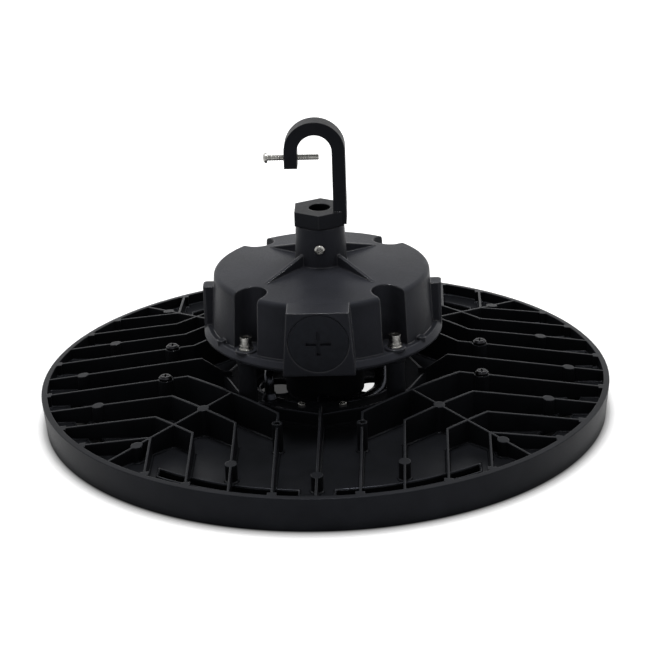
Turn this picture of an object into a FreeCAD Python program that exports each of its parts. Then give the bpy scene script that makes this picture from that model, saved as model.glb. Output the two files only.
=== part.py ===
"""LED high bay light: ribbed plate heat sink, driver box on four posts, suspension hook.

Millimetres, +Z up, origin at the middle of the ring that the light rests on.
The front of the light, with the screwed plug, faces -Y and the hook's bar stands on the +X side.
"""
import FreeCAD, Part
import math
import os
import re
import Sketcher

Vector = FreeCAD.Vector

# Driving sizes: alias, value in mm (or a count or degrees where it says so), what it is.
SIZES = [
    ("rim_radius", 170.0, "outer radius of the rim at its top"),
    ("rim_draft", 2.0, "how much the rim's outer wall leans in at its foot"),
    ("rim_height", 21.4, "rim height above the surface it rests on"),
    ("rim_wall", 3.5, "wall of the rim"),
    ("rim_edge", 0.8, "bevel on the rim's edges"),
    ("floor_top", 14.0, "upper face of the plate's floor"),
    ("floor_thickness", 3.0, "thickness of the floor"),
    ("fin_pitch", 24.0, "spacing of the parallel fins"),
    ("fin_thickness", 1.3, "thickness of a fin"),
    ("fin_drop", 0.6, "fin tops below the rim's top, at the rim"),
    ("fin_slope", 0.133, "rise of the fin tops per millimetre towards the middle"),
    ("spine_first", 73.7, "innermost cross rib, along the diagonal"),
    ("spine_step", 22.3, "step between cross ribs along the diagonal"),
    ("rim_pad_half", 2.6, "half width of a fin's foot at the rim"),
    ("rim_pad_length", 2.6, "length of that foot"),
    ("pad_radius", 3.4, "ejector pads on the fins"),
    ("pad_circle", 146.0, "outer pads' distance from the axis"),
    ("pad_axial", 131.5, "pads on the second fins, along the sector's axis"),
    ("slot_inner", 146.0, "inner radius of the air slots"),
    ("slot_outer", 153.0, "outer radius of the air slots"),
    ("slot_start", 10.5, "air slot's first end, across the sector's axis"),
    ("slot_finish", 89.5, "air slot's last end, across the sector's axis"),
    ("boss_axial", 93.5, "bosses on the first fins, along the sector's axis"),
    ("boss_radius", 4.4, "screw boss in the side sectors"),
    ("boss_height", 30.4, "top of the screw boss"),
    ("boss_bore_depth", 8.0, "depth of the bores in the bosses"),
    ("ring_boss_radius", 3.0, "open boss in the front and back sectors"),
    ("ring_boss_height", 31.9, "top of the open boss"),
    ("ring_boss_bore", 1.6, "bore radius of the open boss"),
    ("hub_radius", 57.0, "raised hub in the middle of the plate"),
    ("hub_point", 61.0, "tip of the hub where the axis fins meet it"),
    ("hub_top", 22.0, "upper face of the hub"),
    ("hub_fin_height", 25.0, "height of the axis fins where they meet the hub"),
    ("hub_inner", 44.0, "inner radius of the hub's raised ring"),
    ("drum_radius", 23.5, "drum in the middle, under the box"),
    ("drum_wall", 3.0, "wall and top of the drum"),
    ("vent_place", 28.0, "air holes beside the drum, from the axis"),
    ("vent_radius", 11.0, "radius of the air holes"),
    ("wiring_half", 12.0, "half width of the wiring pocket under the hub's front"),
    ("wiring_back", 50.8, "back of the wiring pocket"),
    ("wiring_front", 54.5, "front of the wiring pocket"),
    ("wiring_top", 19.6, "top of the wiring pocket"),
    ("screw_x", 43.0, "posts and box screws, to the side of the axis"),
    ("screw_y", 47.5, "posts and box screws, in front of or behind the axis"),
    ("spine_start", 62.0, "inner end of the spines"),
    ("post_radius", 5.5, "radius of a post"),
    ("post_top", 49.8, "top of the posts"),
    ("post_bore", 2.05, "threaded bore radius in a post"),
    ("post_bore_depth", 16.0, "depth of that bore"),
    ("base_radius", 66.6, "radius of the plate that closes the box"),
    ("base_thickness", 2.2, "its thickness"),
    ("ear_radius", 6.0, "ears of the plate over the posts"),
    ("gasket_thickness", 0.8, "seal between plate and box"),
    ("flange_radius", 70.8, "box flange"),
    ("flange_lip", 1.4, "upright part of the flange's edge"),
    ("flange_height", 4.5, "height of the flange"),
    ("flange_shoulder", 68.4, "radius at the top of the flange's sloped edge"),
    ("box_base_radius", 65.4, "box wall where it leaves the flange"),
    ("box_radius", 63.8, "box wall at its top"),
    ("box_height", 38.2, "box height from its foot to the top edge"),
    ("box_edge", 3.0, "rounding of the top edge"),
    ("box_wall", 3.4, "wall of the box"),
    ("crown_rise", 4.5, "rise of the box's top towards the neck"),
    ("neck_base_radius", 15.4, "neck at the box's top"),
    ("neck_radius", 14.3, "neck at its top"),
    ("neck_height", 23.1, "top of the neck above the crown"),
    ("notch_radius", 9.0, "round end of the screw notches"),
    ("notch_centre", 58.0, "centre of that round end from the axis"),
    ("notch_flare", 1.6, "widening of a notch at its mouth"),
    ("seat_radius", 6.2, "raised seat under a box screw"),
    ("seat_rise", 1.3, "height of that seat above the flange"),
    ("web_thickness", 2.4, "webs between neck and box top"),
    ("web_rise", 6.8, "top of a web at the neck, above the crown"),
    ("web_reach", 44.0, "end of a web from the axis"),
    ("lug_reach", 70.5, "outer face of the side lugs"),
    ("lug_half", 5.0, "half width of a side lug"),
    ("lug_height", 28.4, "height of a side lug from the box's foot"),
    ("bump_x", 58.2, "small studs on the flange, to the side of the axis"),
    ("bump_y", 33.6, "and in front of or behind it"),
    ("bump_radius", 2.6, "radius of a stud"),
    ("bump_height", 1.8, "height of a stud above the flange"),
    ("block_face", 75.8, "front face of the plug block"),
    ("block_foot_half", 20.8, "half width of the block at its foot"),
    ("block_top_half", 17.8, "half width of the block at its top"),
    ("plug_centre", 19.8, "plug centre above the box's foot"),
    ("plug_radius", 17.25, "head of the screwed plug"),
    ("plug_head", 3.0, "thickness of the plug's head"),
    ("plug_thread", 14.5, "radius of the plug's thread"),
    ("plug_length", 12.0, "length of the plug's thread"),
    ("plug_bore", 11.0, "radius of the hollow in the plug"),
    ("plug_slot_half", 7.2, "half length of the plug's cross slot"),
    ("plug_slot_width", 1.15, "half width of the cross slot"),
    ("plug_slot_depth", 1.8, "depth of the cross slot"),
    ("seal_cord", 1.5, "cord diameter of the plug's O-ring"),
    ("fit", 0.25, "clearance of parts that go into each other"),
    ("cavity_round", 45.5, "round part of the hollow in the box"),
    ("cavity_arm", 57.0, "reach of the hollow's four arms"),
    ("cavity_half", 20.0, "half width of those arms"),
    ("wire_bore", 6.5, "radius of the wire passage in neck and hook"),
    ("spigot_radius", 10.0, "threaded spigot of the hook"),
    ("spigot_length", 14.0, "length of the spigot"),
    ("hook_washer_thickness", 0.8, "seal under the hook's foot"),
    ("foot_flats", 29.0, "hook foot across its flats"),
    ("foot_height", 8.6, "height of the hook's foot"),
    ("hook_side", 16.0, "outer face of the hook's bar from the axis"),
    ("hook_section", 7.7, "thickness of the hook's bar"),
    ("hook_depth", 11.0, "depth of the hook's bar, front to back"),
    ("hook_radius", 17.8, "outer radius of the hook's bend"),
    ("hook_rise", 44.2, "centre of the bend above the foot's underside"),
    ("hook_tip", 34.2, "end of the hook above the foot's underside"),
    ("hook_gusset", 20.0, "height of the bar's spread root above the foot's underside"),
    ("hook_root_half", 9.0, "half depth of the bar's root"),
    ("safety_height", 39.6, "safety screw above the foot's underside"),
    ("set_height", 11.6, "set screw below the neck's top"),
    ("board_inner", 50.5, "LED board, inner radius"),
    ("board_outer", 134.0, "LED board, outer radius"),
    ("board_thickness", 1.6, "LED board, thickness"),
    ("chip_side", 3.0, "side of an LED chip"),
    ("chip_height", 0.7, "height of an LED chip"),
    ("lens_inner", 42.0, "lens, inner radius"),
    ("lens_outer", 144.0, "lens, outer radius"),
    ("lens_plate", 1.8, "thickness of the lens plate"),
    ("lens_drop", 5.0, "lens face below the plate's floor"),
    ("lens_rim", 8.0, "width of the lens' outer flange"),
    ("lens_collar", 8.0, "width of the lens' inner collar"),
    ("lens_seal", 1.0, "thickness of the lens seals"),
    ("led_ring_first", 64.0, "first ring of LEDs"),
    ("led_ring_step", 26.0, "step between rings of LEDs"),
    ("driver_radius", 43.0, "potted driver"),
    ("driver_height", 27.0, "its height"),
    ("clamp_half", 15.5, "half length of the wiring lid on the hub"),
    ("clamp_back", 45.5, "back edge of the lid from the axis"),
    ("clamp_front", 53.6, "front edge of the lid at its ends"),
    ("clamp_nose", 55.8, "front edge of the lid at its middle"),
    ("clamp_thickness", 1.6, "thickness of the lid"),
    ("clamp_screw_x", 12.0, "lid screws beside the middle"),
    ("clamp_screw_y", 49.3, "lid screws in front of the axis"),
    ("lead_z", 18.0, "axis of the thick lead where it enters the hub"),
    ("lead_radius", 3.8, "thick lead"),
    ("stem_radius", 2.8, "stem of the lead's boot through the hub's wall"),
    ("elbow_radius", 3.9, "body of the lead's boot"),
    ("elbow_back", 30.5, "inner end of the boot from the axis"),
    ("elbow_turn", 36.0, "where the boot turns to the side, from the axis"),
    ("elbow_reach", 8.5, "boot's nozzle to the side"),
    ("lead_gland_x", 33.5, "thick lead's gland, to the right of the axis"),
    ("lead_gland_y", 1.0, "thick lead's gland, in front of the axis"),
    ("gland_radius", 7.5, "gland head"),
    ("gland_head", 3.0, "gland head's height"),
    ("gland_nose", 5.6, "radius of the gland's nose"),
    ("gland_drop", 8.5, "gland's length below the box"),
    ("gland_thread", 5.4, "radius of the gland's thread"),
    ("gland_stud", 6.5, "thread inside the box"),
    ("nut_flats", 15.0, "gland nut across its flats"),
    ("nut_height", 3.0, "gland nut"),
    ("dimming_x", 31.3, "thin lead, to the left of the axis"),
    ("dimming_y", 37.0, "thin lead's entry in the hub, in front of the axis"),
    ("dimming_back", 6.0, "thin lead's gland behind the axis"),
    ("dimming_radius", 2.9, "thin lead"),
    ("grommet_radius", 4.6, "grommet of the thin lead"),
    ("grommet_height", 4.5, "grommet above the hub"),
    ("grommet_stem", 3.1, "grommet's stem in the hub"),
    ("small_thread", 1.2, "radius of the small screws' threads"),
    ("m3_shank", 1.5, "radius of the M3 screws"),
    ("m3_head", 3.0, "head radius of the M3 screws"),
    ("m3_head_height", 2.2, "head height of the M3 screws"),
    ("m4_shank", 2.0, "radius of the M4 screws"),
    ("m4_head", 4.0, "head radius of the M4 pan screws"),
    ("m4_head_height", 2.5, "head height of the M4 pan screws"),
    ("cap_head", 3.5, "head radius of the box screws"),
    ("cap_head_height", 4.8, "head height of the box screws"),
    ("cap_length", 24.0, "length of the box screws"),
    ("socket_flats", 3.0, "box screws' socket across its flats"),
    ("washer_radius", 4.4, "flat washer under a box screw"),
    ("washer_thickness", 1.0, "thickness of the flat washer"),
    ("spring_radius", 3.7, "spring washer"),
    ("spring_thickness", 1.9, "thickness of the spring washer"),
    ("screw_clearance", 2.25, "radius of clearance holes for M4"),
    ("safety_length", 30.0, "length of the safety screw"),
    ("safety_gap", 9.8, "safety screw's head stands off the hook's tip"),
    ("set_length", 5.6, "length of the set screw"),
    ("boss_screw_length", 8.0, "length of the boss screws"),
    ("small_head", 2.2, "head radius of the small screws"),
    ("small_head_height", 1.5, "head height of the small screws"),
    ("small_length", 5.0, "length of the clamp screws"),
]

# Places worked out from the driving sizes; a formula may use another one's name.
DERIVED = {
    "floor_bottom": "floor_top - floor_thickness",
    "rim_inner": "rim_radius - rim_wall",
    "rim_middle": "rim_radius - rim_wall / 2",
    "base_top": "post_top + base_thickness",
    "box_foot": "base_top + gasket_thickness",
    "flange_top": "box_foot + flange_height",
    "box_top": "box_foot + box_height",
    "crown_top": "box_top + crown_rise",
    "neck_top": "crown_top + neck_height",
    "web_top": "crown_top + web_rise",
    "seat_top": "flange_top + seat_rise",
    "cavity_top": "box_top - box_wall",
    "plug_axis": "box_foot + plug_centre",
    "hook_foot": "neck_top + hook_washer_thickness",
    "foot_top": "hook_foot + foot_height",
    "bend_x": "hook_side - hook_radius",
    "bend_z": "hook_foot + hook_rise",
    "tip_z": "hook_foot + hook_tip",
    "hook_inner": "hook_radius - hook_section",
    "safety_z": "hook_foot + safety_height",
    "set_z": "neck_top - set_height",
    "board_face": "floor_bottom - board_thickness",
    "lens_face": "floor_bottom - lens_drop",
    "lens_flange": "floor_bottom - lens_seal",
    "clamp_top": "hub_top + clamp_thickness",
    "set_seat": "(neck_radius + neck_base_radius) / 2 + 0.2",
    "last_rib": "spine_first + 2 * spine_step",
}

# Where the box screws stand round the axis, and the signs that give all four of them.
TURNS = ("atan2(screw_y; screw_x)", "180deg - atan2(screw_y; screw_x)")
SIGNS = (("", ""), ("", "-"), ("-", ""), ("-", "-"))

doc = FreeCAD.newDocument("HighBayLight")
sheet = doc.addObject("Spreadsheet::Sheet", "Sizes")
for row, (alias, value, note) in enumerate(SIZES, start=1):
    sheet.set(f"A{row}", note)
    sheet.set(f"B{row}", str(value))
    sheet.setAlias(f"B{row}", alias)
doc.recompute()

ALIASES = {alias: value for alias, value, note in SIZES}
ALIAS_WORD = re.compile(r"\b(" + "|".join(ALIASES) + r")\b")
DERIVED_WORD = re.compile(r"\b(" + "|".join(DERIVED) + r")\b")


def spelled(text):
    """Write a formula in the sheet's own sizes only."""
    while DERIVED_WORD.search(text):
        text = DERIVED_WORD.sub(lambda word: "(" + DERIVED[word.group()] + ")", text)
    return text


def formula(text):
    """The formula as an expression that follows the sheet."""
    return ALIAS_WORD.sub(lambda word: "Sizes." + word.group(), spelled(str(text)))


def number(text):
    """The formula's value now, read from the sheet."""
    plain = ALIAS_WORD.sub(lambda word: repr(float(sheet.get(word.group()))), spelled(str(text)))
    return FreeCAD.Units.Quantity(plain).Value


def bind(thing, **properties):
    """Tie properties to formulas; a double underscore stands for a dot."""
    for name, text in properties.items():
        thing.setExpression(name.replace("__", "."), formula(text))
    return thing


# ---------------------------------------------------------------- sketches

def origin_item(body, role):
    return next(item for item in body.Origin.OriginFeatures if item.Role == role)


def sketch(body, plane="XY", lift="0", turn=0.0, shift="0"):
    """Empty sketch on an origin plane, lifted along its normal, turned about Z, shifted along its X."""
    new = body.newObject("Sketcher::SketchObject", "Sketch")
    new.AttachmentSupport = [(origin_item(body, plane + "_Plane"), "")]
    new.MapMode = "FlatFace"
    upright = Vector(0, 0, 1) if plane == "XY" else Vector(0, 1, 0)
    by_formula = isinstance(turn, str)
    new.AttachmentOffset = FreeCAD.Placement(Vector(), FreeCAD.Rotation(upright, 1 if by_formula else turn))
    if by_formula:
        bind(new, AttachmentOffset__Rotation__Angle=turn)
    if lift != "0":
        bind(new, AttachmentOffset__Base__z=lift)
    if shift != "0":
        bind(new, AttachmentOffset__Base__x=shift)
    return new


def pin(geometry, point, x, y, rules):
    """Rules that hold one point of a sketch at (x, y)."""
    for kind, text, axis in (("DistanceX", x, -2), ("DistanceY", y, -1)):
        if str(text) == "0":
            rules.append((Sketcher.Constraint("PointOnObject", geometry, point, axis), None))
        else:
            rule = Sketcher.Constraint(kind, -1, 1, geometry, point, number(text))
            rules.append((rule, text))


def apply(target, rules):
    """Add the rules at once, then tie each size to the sheet."""
    first = target.ConstraintCount
    target.addConstraint([rule for rule, text in rules])
    for index, (rule, text) in enumerate(rules, start=first):
        if text is not None:
            target.setExpression(f"Constraints[{index}]", formula(text))


def outline(target, points):
    """Closed outline. A point (x, y, cx, cy, sense) starts an arc about (cx, cy); sense 1 is ccw."""
    places = [Vector(number(p[0]), number(p[1]), 0) for p in points]
    first = target.GeometryCount
    rules = []
    count = len(points)
    ends = []
    for index, point in enumerate(points):
        here, there = places[index], places[(index + 1) % count]
        if len(point) == 2:
            target.addGeometry(Part.LineSegment(here, there), False)
            ends.append((1, 2))
            continue
        centre = Vector(number(point[2]), number(point[3]), 0)
        a, b = (here, there) if point[4] > 0 else (there, here)
        start = math.atan2(a.y - centre.y, a.x - centre.x)
        stop = math.atan2(b.y - centre.y, b.x - centre.x)
        if stop <= start:
            stop += 2 * math.pi
        ring = Part.Circle(centre, Vector(0, 0, 1), (a - centre).Length)
        target.addGeometry(Part.ArcOfCircle(ring, start, stop), False)
        ends.append((1, 2) if point[4] > 0 else (2, 1))
    for index, point in enumerate(points):
        geometry = first + index
        after = (index + 1) % count
        pin(geometry, ends[index][0], point[0], point[1], rules)
        joint = Sketcher.Constraint("Coincident", geometry, ends[index][1], first + after, ends[after][0])
        rules.append((joint, None))
        if len(point) > 2:
            chord = places[after] - places[index]
            if abs(chord.x) > abs(chord.y):
                side = [("DistanceY", point[3], -1)]
            else:
                side = [("DistanceX", point[2], -2)]
            for kind, text, axis in side:
                if str(text) == "0":
                    rules.append((Sketcher.Constraint("PointOnObject", geometry, 3, axis), None))
                else:
                    rule = Sketcher.Constraint(kind, -1, 1, geometry, 3, number(text))
                    rules.append((rule, text))
    apply(target, rules)
    return target


def rectangle(target, x0, x1, y0, y1):
    return outline(target, [(x0, y0), (x1, y0), (x1, y1), (x0, y1)])


def circle(target, x, y, radius):
    place = Vector(number(x), number(y), 0)
    geometry = target.addGeometry(Part.Circle(place, Vector(0, 0, 1), number(radius)), False)
    rules = [(Sketcher.Constraint("Radius", geometry, number(radius)), radius)]
    if str(x) == "0" and str(y) == "0":
        rules.append((Sketcher.Constraint("Coincident", geometry, 3, -1, 1), None))
    else:
        pin(geometry, 3, x, y, rules)
    apply(target, rules)
    return target


def cross(target, half, width):
    """Outline of a cross slot about the sketch's origin."""
    ring = [(width, half), (f"-({width})", half), (f"-({width})", width), (f"-({half})", width)]
    lower = [(f"-({half})", f"-({width})"), (f"-({width})", f"-({width})"),
             (f"-({width})", f"-({half})"), (width, f"-({half})")]
    return outline(target, ring + lower + [(width, f"-({width})"), (half, f"-({width})"),
                                           (half, width), (width, width)])


def hexagon(target, flats):
    """Hexagon with two flats across the sketch's X axis."""
    side = f"({flats}) / 2"
    tip = f"({flats}) / sqrt(3)"
    half = f"({flats}) / sqrt(12)"
    return outline(target, [(side, f"-({half})"), (side, half), ("0", tip), (f"-({side})", half),
                            (f"-({side})", f"-({half})"), ("0", f"-({tip})")])


# ---------------------------------------------------------------- features

def new_body(label):
    body = doc.addObject("PartDesign::Body", label)
    body.Label = label
    return body


def prism(body, kind, profile, length, reverse=False, middle=False):
    """Pad or Pocket of a sketch."""
    feature = body.newObject("PartDesign::" + kind, kind)
    feature.Profile = profile
    if length is None:
        feature.Type = "ThroughAll"
    else:
        bind(feature, Length=length)
    feature.SideType = "Symmetric" if middle else "One side"
    feature.Reversed = reverse
    return feature


def turned(body, kind, profile):
    """Revolution or Groove of a sketch about its own upright axis."""
    feature = body.newObject("PartDesign::" + kind, kind)
    feature.Profile = profile
    feature.ReferenceAxis = (profile, ["V_Axis"])
    feature.Angle = 360
    return feature


def repeat(body, features, times):
    """Polar pattern of features about the light's axis."""
    pattern = body.newObject("PartDesign::PolarPattern", "Pattern")
    pattern.Originals = features
    pattern.Axis = (origin_item(body, "Z_Axis"), [""])
    pattern.Angle = 360
    pattern.Occurrences = times
    body.Tip = pattern
    return pattern


def finished(body):
    """Leave the merging of split faces to the last feature of a long body."""
    for feature in body.Group:
        if hasattr(feature, "Refine") and feature is not body.Tip:
            feature.Refine = False
    return body


def placed(form, x="0", y="0", z="0", axis=(0, 0, 1), turn=0.0):
    """One use of a shared form, at its place."""
    link = doc.addObject("App::Link", form.Label + "_use")
    link.LinkedObject = form
    link.Placement = FreeCAD.Placement(Vector(), FreeCAD.Rotation(Vector(*axis), turn))
    for direction, text in (("x", x), ("y", y), ("z", z)):
        if str(text) != "0":
            link.setExpression(f"Placement.Base.{direction}", formula(text))
    return link


def group(label, uses):
    """Like pieces that share one node."""
    holder = doc.addObject("Part::Compound", label)
    holder.Label = label
    holder.Links = uses
    return holder


# ---------------------------------------------------------------- heat sink

def fin_top(radius):
    return f"rim_height - fin_drop + fin_slope * (rim_radius - ({radius}))"


def rib_place(order):
    """Cross rib's distance from the axis along the diagonal."""
    return f"(spine_first + {order - 1} * spine_step)"


def fin_start(order):
    """Where a fin's straight run begins: at its cross rib, or for the last one at the spine."""
    if order == 4:
        return "4 * fin_pitch - fin_thickness / 2"
    return f"{rib_place(order)} * sqrt(2) - {order} * fin_pitch - fin_thickness / 5"


def heat_sink():
    """Cast plate: rim, floor, hub, then fins, cross ribs, spines and pads under one cone, then posts."""
    body = new_body("heat_sink")
    section = sketch(body, "XZ")
    outline(section, [
        ("0", "floor_bottom"), ("rim_inner - rim_draft", "floor_bottom"),
        ("rim_inner - rim_draft", "rim_edge"),
        ("rim_inner - rim_draft + rim_edge", "0"), ("rim_radius - rim_draft - rim_edge", "0"),
        ("rim_radius - rim_draft", "rim_edge"), ("rim_radius", "rim_height - rim_edge"),
        ("rim_radius - rim_edge", "rim_height"), ("rim_inner + rim_edge / 2", "rim_height"),
        ("rim_inner", "rim_height - rim_edge / 2"), ("rim_inner", "floor_top"),
        ("hub_radius", "floor_top"), ("hub_radius", "hub_top"), ("hub_inner", "hub_top"),
        ("hub_inner", "floor_top"), ("drum_radius", "floor_top"), ("drum_radius", "post_top"),
        ("0", "post_top")])
    turned(body, "Revolution", section)

    points = sketch(body, "XY", lift="floor_top", turn=-90)
    outline(points, [("hub_radius - 10", "-21"), ("hub_radius - 4", "-21"), ("hub_point", "0"),
                     ("hub_radius - 4", "21"), ("hub_radius - 10", "21")])
    point = prism(body, "Pad", points, "hub_top - floor_top")
    air = sketch(body, "XY", lift="floor_top", turn=-90)
    for side in ("", "-"):
        ends = []
        for reach in ("slot_start", "slot_finish"):
            for radius in ("slot_inner", "slot_outer"):
                ends.append((f"sqrt({radius}^2 - {reach}^2)", f"{side}{reach}"))
        sense = 1 if side == "" else -1
        near_in, near_out, far_in, far_out = ends
        outline(air, [near_out + ("0", "0", sense), far_out, far_in + ("0", "0", -sense), near_in])
    repeat(body, [point, prism(body, "Pocket", air, None)], 4)

    vents = sketch(body, "XY", lift="floor_top")
    for side in ("", "-"):
        circle(vents, f"{side}vent_place", "0", "vent_radius")
    prism(body, "Pocket", vents, "floor_thickness + 1")
    cup = sketch(body, "XY", lift="floor_bottom")
    circle(cup, "0", "0", "drum_radius - drum_wall")
    rectangle(cup, "-wiring_half", "wiring_half", "-wiring_front", "-wiring_back")
    prism(body, "Pocket", cup, "wiring_top - floor_bottom", reverse=True)
    bell = sketch(body, "XY", lift="floor_bottom")
    circle(bell, "0", "0", "drum_radius - drum_wall")
    prism(body, "Pocket", bell, "post_top - drum_wall - floor_bottom", reverse=True)
    entries = sketch(body, "XY", lift="hub_top")
    circle(entries, "-dimming_x", "-dimming_y", "grommet_stem + fit / 2")
    for side in ("", "-"):
        circle(entries, f"{side}clamp_screw_x", "-clamp_screw_y", "small_thread")
    prism(body, "Pocket", entries, "hub_top - floor_bottom")
    gate = sketch(body, "XZ", lift="wiring_back + 1")
    circle(gate, "0", "lead_z", "stem_radius + fit / 2")
    prism(body, "Pocket", gate, "wiring_back + 1 - hub_inner + 2")

    tall = "post_top - floor_top"
    straight = sketch(body, "XY", lift="floor_top", turn=-90)
    rectangle(straight, "hub_point - 5", "rim_middle", "-fin_thickness / 2", "fin_thickness / 2")
    for order in (1, 2, 3, 4):
        for side in ("", "-"):
            offset = f"{side}{order} * fin_pitch"
            finish = f"sqrt(rim_middle^2 - ({order} * fin_pitch)^2)"
            rectangle(straight, fin_start(order), finish,
                      f"{offset} - fin_thickness / 2", f"{offset} + fin_thickness / 2")
    fins = prism(body, "Pad", straight, tall)
    spine = sketch(body, "XY", lift="floor_top", turn=45)
    rectangle(spine, "spine_start", "rim_middle", "-fin_thickness / 2", "fin_thickness / 2")
    spines = prism(body, "Pad", spine, tall)
    ribs = sketch(body, "XY", lift="floor_top", turn=45)
    for order in (1, 2, 3):
        half = f"({rib_place(order)} - {order} * fin_pitch * sqrt(2) + fin_thickness / 5)"
        rectangle(ribs, f"{rib_place(order)} - fin_thickness / 2",
                  f"{rib_place(order)} + fin_thickness / 2", f"-{half}", half)
    cross_ribs = prism(body, "Pad", ribs, tall)
    pads = sketch(body, "XY", lift="floor_top", turn=-90)
    circle(pads, "pad_circle", "0", "pad_radius")
    for side in ("", "-"):
        circle(pads, "pad_axial", f"{side}2 * fin_pitch", "pad_radius")
        for order in (1, 3, 4):
            offset = f"{side}{order} * fin_pitch"
            wall = f"sqrt(rim_inner^2 - ({order} * fin_pitch)^2)"
            rectangle(pads, f"{wall} - rim_pad_length", f"{wall} + rim_wall / 4",
                      f"{offset} - rim_pad_half", f"{offset} + rim_pad_half")
    fin_pads = prism(body, "Pad", pads, tall)
    spots = sketch(body, "XY", lift="floor_top", turn=45)
    circle(spots, rib_place(2), "0", "pad_radius")
    circle(spots, "pad_circle", "0", "pad_radius")
    spine_pads = prism(body, "Pad", spots, tall)
    repeat(body, [fins, spines, cross_ribs, fin_pads, spine_pads], 4)

    over = sketch(body, "XZ")
    outline(over, [("rim_radius + 5", fin_top("rim_radius + 5")),
                   ("spine_first", fin_top("spine_first")), ("hub_point", "hub_fin_height"),
                   ("hub_radius - 10", "hub_fin_height"), ("hub_radius - 10", "post_top + 5"),
                   ("rim_radius + 5", "post_top + 5")])
    turned(body, "Groove", over)

    kinds = (
        ("screw_x", "screw_y", "post_radius", "post_top", "post_bore", "post_bore_depth"),
        ("boss_axial", "fin_pitch", "boss_radius", "boss_height", "post_bore", "boss_bore_depth"),
        ("fin_pitch", "boss_axial", "ring_boss_radius", "ring_boss_height", "ring_boss_bore",
         "boss_bore_depth"))
    for x, y, radius, height, bore, depth in kinds:
        raised = sketch(body, "XY", lift="floor_top")
        holes = sketch(body, "XY", lift=height)
        for left, front in SIGNS:
            circle(raised, left + x, front + y, radius)
            circle(holes, left + x, front + y, bore)
        prism(body, "Pad", raised, f"{height} - floor_top")
        prism(body, "Pocket", holes, depth)
    flats = sketch(body, "XY", lift="boss_height")
    for left, front in SIGNS:
        circle(flats, f"{left}boss_axial", f"{front}fin_pitch", "boss_radius + fit")
    prism(body, "Pocket", flats, "boss_radius", reverse=True)
    return finished(body)


# ---------------------------------------------------------------- driver box

def driver_housing():
    body = new_body("driver_housing")
    section = sketch(body, "XZ")
    outline(section, [
        ("0", "box_foot"), ("flange_radius", "box_foot"), ("flange_radius", "box_foot + flange_lip"),
        ("flange_shoulder", "flange_top"), ("box_base_radius", "flange_top"),
        ("box_radius", "box_top - box_edge", "box_radius - box_edge", "box_top - box_edge", 1),
        ("box_radius - box_edge", "box_top"), ("neck_base_radius", "crown_top"),
        ("neck_radius", "neck_top"), ("0", "neck_top")])
    turned(body, "Revolution", section)

    block = sketch(body, "XZ")
    outline(block, [("-block_foot_half", "box_foot"), ("block_foot_half", "box_foot"),
                    ("block_top_half", "box_top"), ("-block_top_half", "box_top")])
    prism(body, "Pad", block, "block_face")

    lugs = sketch(body, "XY", lift="box_foot")
    outline(lugs, [("box_radius - 3", "-lug_half"), ("lug_reach - 1.5", "-lug_half"),
                   ("lug_reach", "1.5 - lug_half"), ("lug_reach", "lug_half - 1.5"),
                   ("lug_reach - 1.5", "lug_half"), ("box_radius - 3", "lug_half")])
    repeat(body, [prism(body, "Pad", lugs, "lug_height")], 2)

    for turn in TURNS:
        notches = sketch(body, "XY", lift="neck_top", turn=turn)
        outline(notches, [
            ("notch_centre", "-notch_radius"), ("flange_radius + 5", "-notch_radius - notch_flare"),
            ("flange_radius + 5", "notch_radius + notch_flare"),
            ("notch_centre", "notch_radius", "notch_centre", "0", 1)])
        repeat(body, [prism(body, "Pocket", notches, "neck_top - flange_top")], 2)
    seats = sketch(body, "XY", lift="flange_top - 1")
    holes = sketch(body, "XY", lift="seat_top")
    for left, front in SIGNS:
        circle(seats, left + "screw_x", front + "screw_y", "seat_radius")
        circle(holes, left + "screw_x", front + "screw_y", "screw_clearance")
    prism(body, "Pad", seats, "seat_rise + 1")
    prism(body, "Pocket", holes, None)
    webs = sketch(body, "XZ", turn=45)
    outline(webs, [("neck_radius - 4", "box_top - 1"), ("web_reach", "box_top - 1"),
                   ("web_reach", "crown_top - crown_rise * (web_reach - neck_base_radius)"
                    " / (box_radius - box_edge - neck_base_radius) + 0.3"),
                   ("neck_base_radius - 0.3", "web_top"), ("neck_radius - 4", "web_top")])
    repeat(body, [prism(body, "Pad", webs, "web_thickness", middle=True)], 4)

    hollow = sketch(body, "XY", lift="box_foot")
    circle(hollow, "0", "0", "cavity_round")
    prism(body, "Pocket", hollow, "cavity_top - box_foot", reverse=True)
    for turn in (0, 90):
        arm = sketch(body, "XY", lift="box_foot", turn=turn)
        rectangle(arm, "-cavity_arm", "cavity_arm", "-cavity_half", "cavity_half")
        prism(body, "Pocket", arm, "cavity_top - box_foot", reverse=True)

    thread = sketch(body, "XY", lift="neck_top")
    circle(thread, "0", "0", "spigot_radius")
    prism(body, "Pocket", thread, "spigot_length + 1")
    passage = sketch(body, "XY", lift="neck_top")
    circle(passage, "0", "0", "wire_bore")
    prism(body, "Pocket", passage, "neck_top - cavity_top + 2")

    head = sketch(body, "XZ", lift="block_face")
    circle(head, "0", "plug_axis", "plug_radius + fit")
    prism(body, "Pocket", head, "plug_head")
    port = sketch(body, "XZ", lift="block_face")
    circle(port, "0", "plug_axis", "plug_thread")
    prism(body, "Pocket", port, "block_face - cavity_arm + 1")
    lock = sketch(body, "XZ", lift="neck_base_radius + 2")
    circle(lock, "0", "set_z", "m3_shank")
    prism(body, "Pocket", lock, "neck_base_radius + 2 - spigot_radius + 1")

    studs = sketch(body, "XY", lift="flange_top - flange_lip")
    for left, front in SIGNS:
        circle(studs, left + "bump_x", front + "bump_y", "bump_radius")
    prism(body, "Pad", studs, "bump_height + flange_lip")
    return finished(body)


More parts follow.
